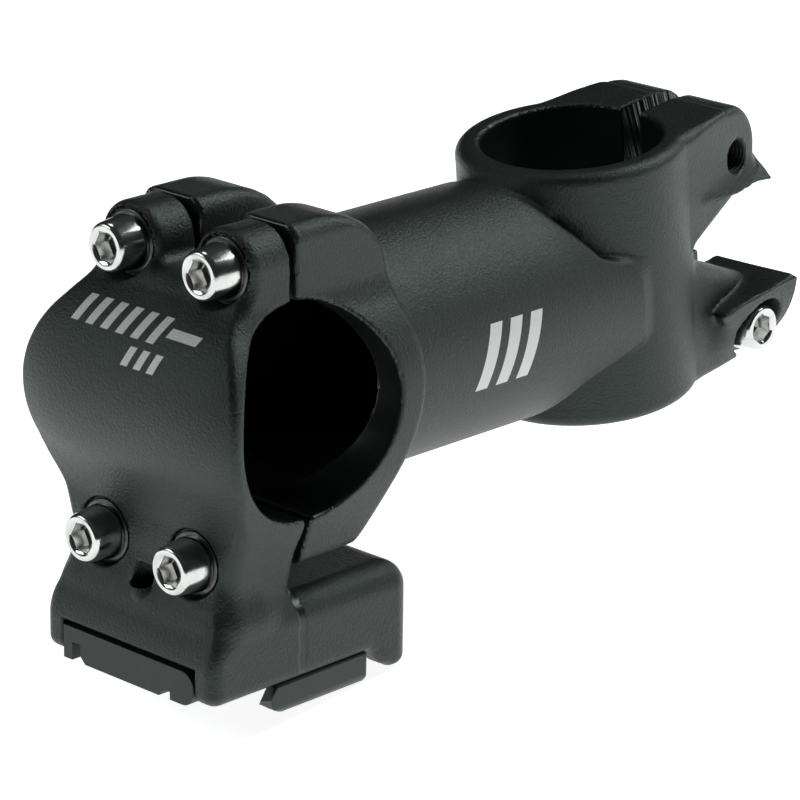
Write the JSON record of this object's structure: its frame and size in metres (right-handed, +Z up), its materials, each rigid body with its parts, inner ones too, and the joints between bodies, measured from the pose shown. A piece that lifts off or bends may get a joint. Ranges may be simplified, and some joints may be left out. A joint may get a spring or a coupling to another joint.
{
  "type": "bicycle handlebar stem",
  "caption": "Threadless handlebar stem with a split steerer clamp, a round extension, a bolted bar clamp and a railed accessory dock below the faceplate.",
  "frame": {"origin": "middle of the steerer bore, on its axis", "axes": "+Z up along the steerer axis; the extension runs towards -Y and rises at 7 degrees; +X is along the handlebar bore"},
  "size_m": [0.0454, 0.1335, 0.0754],
  "materials": {
    "forged_black": "satin black coating with a fine leathery grain over forged aluminium",
    "forged_black_front": "the same satin black coating on the faceplate and its block, with a plain pale mark",
    "rail_black": "smooth satin black coated steel",
    "cover_black": "fine matt black moulding",
    "bolt_steel": "bright polished stainless, turned heads",
    "washer_steel": "bright stainless",
    "screw_steel": "dark zinc-plated steel"
  },
  "bodies": {
    "stem": {"stem_body": "forged_black"},
    "faceplate": {"faceplate": "forged_black_front", "dock_rail": "rail_black", "dock_cover": "cover_black", "dock_clamp_screw": "screw_steel", "dock_screw_front": "screw_steel", "dock_screw_rear": "screw_steel"},
    "face_upper_left_washer": {"faceplate_washer_upper_left": "washer_steel"},
    "face_upper_left_bolt": {"faceplate_bolt_upper_left": "bolt_steel"},
    "face_upper_right_washer": {"faceplate_washer_upper_right": "washer_steel"},
    "face_upper_right_bolt": {"faceplate_bolt_upper_right": "bolt_steel"},
    "face_lower_left_washer": {"faceplate_washer_lower_left": "washer_steel"},
    "face_lower_left_bolt": {"faceplate_bolt_lower_left": "bolt_steel"},
    "face_lower_right_washer": {"faceplate_washer_lower_right": "washer_steel"},
    "face_lower_right_bolt": {"faceplate_bolt_lower_right": "bolt_steel"},
    "pinch_upper_washer": {"pinch_washer_upper": "washer_steel"},
    "pinch_upper_bolt": {"pinch_bolt_upper": "bolt_steel"},
    "pinch_lower_washer": {"pinch_washer_lower": "washer_steel"},
    "pinch_lower_bolt": {"pinch_bolt_lower": "bolt_steel"}
  },
  "joints": [
    {"name": "faceplate_off", "type": "slide", "parent": "stem", "child": "faceplate", "axis": [0, -0.9925, 0.1219], "range_m": [0, 0.025]},
    {"name": "face_upper_left_out", "type": "slide", "parent": "faceplate", "child": "face_upper_left_washer", "axis": [0, -0.9925, 0.1219], "range_m": [0, 0.014]},
    {"name": "face_upper_left_turn", "type": "hinge", "parent": "face_upper_left_washer", "child": "face_upper_left_bolt", "pos_m": [-0.0098, -0.08408, 0.02958], "axis": [0, -0.9925, 0.1219], "range_deg": [0, 6302]},
    {"name": "face_upper_right_out", "type": "slide", "parent": "faceplate", "child": "face_upper_right_washer", "axis": [0, -0.9925, 0.1219], "range_m": [0, 0.014]},
    {"name": "face_upper_right_turn", "type": "hinge", "parent": "face_upper_right_washer", "child": "face_upper_right_bolt", "pos_m": [0.0098, -0.08408, 0.02958], "axis": [0, -0.9925, 0.1219], "range_deg": [0, 6302]},
    {"name": "face_lower_left_out", "type": "slide", "parent": "faceplate", "child": "face_lower_left_washer", "axis": [0, -0.9925, 0.1219], "range_m": [0, 0.014]},
    {"name": "face_lower_left_turn", "type": "hinge", "parent": "face_lower_left_washer", "child": "face_lower_left_bolt", "pos_m": [-0.00945, -0.09499, -0.0125], "axis": [0, -0.9925, 0.1219], "range_deg": [0, 6302]},
    {"name": "face_lower_right_out", "type": "slide", "parent": "faceplate", "child": "face_lower_right_washer", "axis": [0, -0.9925, 0.1219], "range_m": [0, 0.014]},
    {"name": "face_lower_right_turn", "type": "hinge", "parent": "face_lower_right_washer", "child": "face_lower_right_bolt", "pos_m": [0.00945, -0.09499, -0.0125], "axis": [0, -0.9925, 0.1219], "range_deg": [0, 6302]},
    {"name": "pinch_upper_out", "type": "slide", "parent": "stem", "child": "pinch_upper_washer", "axis": [-1, 0, 0], "range_m": [0, 0.012]},
    {"name": "pinch_upper_turn", "type": "hinge", "parent": "pinch_upper_washer", "child": "pinch_upper_bolt", "pos_m": [-0.0119, 0.0245, 0.0127], "axis": [-1, 0, 0], "range_deg": [0, 5402]},
    {"name": "pinch_lower_out", "type": "slide", "parent": "stem", "child": "pinch_lower_washer", "axis": [1, 0, 0], "range_m": [0, 0.012]},
    {"name": "pinch_lower_turn", "type": "hinge", "parent": "pinch_lower_washer", "child": "pinch_lower_bolt", "pos_m": [0.0119, 0.0245, -0.0162], "axis": [1, 0, 0], "range_deg": [0, 5402]}
  ],
  "couplings": [
    {"joint": "face_upper_left_turn", "follows": "face_upper_left_out", "rad_per_m": 7854},
    {"joint": "face_upper_right_turn", "follows": "face_upper_right_out", "rad_per_m": 7854},
    {"joint": "face_lower_left_turn", "follows": "face_lower_left_out", "rad_per_m": 7854},
    {"joint": "face_lower_right_turn", "follows": "face_lower_right_out", "rad_per_m": 7854},
    {"joint": "pinch_upper_turn", "follows": "pinch_upper_out", "rad_per_m": 7854},
    {"joint": "pinch_lower_turn", "follows": "pinch_lower_out", "rad_per_m": 7854}
  ]
}
